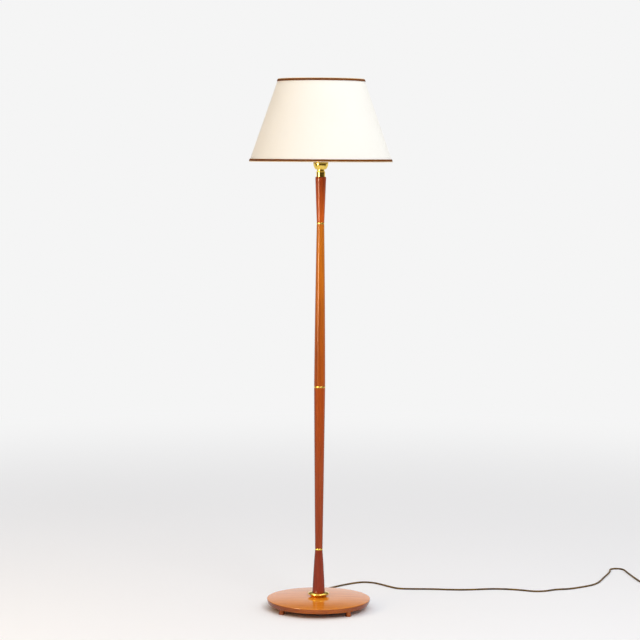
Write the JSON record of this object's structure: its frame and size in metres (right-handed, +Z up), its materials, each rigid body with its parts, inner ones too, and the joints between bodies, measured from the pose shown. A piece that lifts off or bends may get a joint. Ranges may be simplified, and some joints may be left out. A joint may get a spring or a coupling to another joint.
{
  "type": "floor lamp",
  "caption": "Candlestick floor lamp: turned wooden stem with brass rings on a round weighted base, conical cloth shade with dark bands, lampholder, switch and lead",
  "frame": {"origin": "on the floor under the middle of the round base", "axes": "+Z up along the stem, -Y towards the viewer of the picture, +X to the viewer's right; the lead leaves the base at +Y"},
  "size_m": [1.2961, 0.7701, 1.4999],
  "materials": {
    "wood_base": "polished clear lacquer",
    "wood_stem": "polished clear lacquer, straight grain",
    "brass": "polished",
    "steel": "zinc plated",
    "iron": "black paint",
    "rubber": "matt",
    "porcelain": "glazed white ceramic",
    "cream_cloth": "smooth laminated cloth",
    "brown_band": "woven binding band",
    "pale_piping": "twisted silk cord",
    "white_metal": "white lacquer",
    "glass": "clear",
    "black_glass": "black glass",
    "knob": "moulded",
    "lead_sheath": "bronze-brown sheath",
    "plug_shell": "moulded brown",
    "nickel": "nickel plated"
  },
  "bodies": {
    "stand": {"base_disc": "wood_base", "foot_1": "wood_base", "foot_2": "wood_base", "foot_3": "wood_base", "foot_4": "wood_base", "base_weight": "iron", "weight_screws": "steel", "tube_washer": "steel", "tube_nut": "steel", "base_flange": "brass", "stem_foot": "wood_stem", "stem_lower": "wood_stem", "stem_upper": "wood_stem", "stem_top": "wood_stem", "ring_lower": "brass", "ring_middle": "brass", "ring_upper": "brass", "tube_lower": "steel", "tube_upper": "steel", "tube_coupler": "steel", "collar": "brass", "neck_nut": "brass", "holder_cap": "brass", "holder_shell": "brass", "holder_core": "porcelain", "insulating_ring": "porcelain", "holder_sleeve": "nickel", "centre_contact": "brass", "terminal_screws": "brass", "core_wires": "lead_sheath", "clamp_ring_lower": "brass", "clamp_ring_upper": "brass", "inner_flex": "lead_sheath", "lead_relief": "rubber", "lead_cleat": "steel", "cleat_screws": "steel", "lead": "lead_sheath", "lead_coil": "lead_sheath", "plug_body": "plug_shell", "plug_pins": "nickel"},
    "switch": {"switch_knob": "knob", "switch_spindle": "brass"},
    "shade": {"shade_fitter": "white_metal", "shade_spoke_1": "white_metal", "shade_spoke_2": "white_metal", "shade_spoke_3": "white_metal", "wire_bottom": "white_metal", "wire_top": "white_metal", "shade_cover": "cream_cloth", "trim_bottom": "brown_band", "trim_top": "brown_band", "piping_bottom": "pale_piping", "piping_top": "pale_piping"},
    "bulb": {"bulb_cap": "nickel", "bulb_contact": "nickel", "bulb_insulator": "black_glass", "bulb_glass": "glass", "bulb_mount": "glass", "bulb_filament": "steel"}
  },
  "joints": [
    {"name": "shade_turn", "type": "hinge", "parent": "stand", "child": "shade", "pos_m": [0, 0, 1.288], "axis": [0, 0, 1], "continuous": true},
    {"name": "switch_turn", "type": "hinge", "parent": "stand", "child": "switch", "pos_m": [0, 0.03, 1.2675], "axis": [0, 1, 0], "continuous": true},
    {"name": "bulb_turn", "type": "hinge", "parent": "stand", "child": "bulb", "pos_m": [0, 0, 1.31], "axis": [0, 0, 1], "range_deg": [0, 900]}
  ]
}
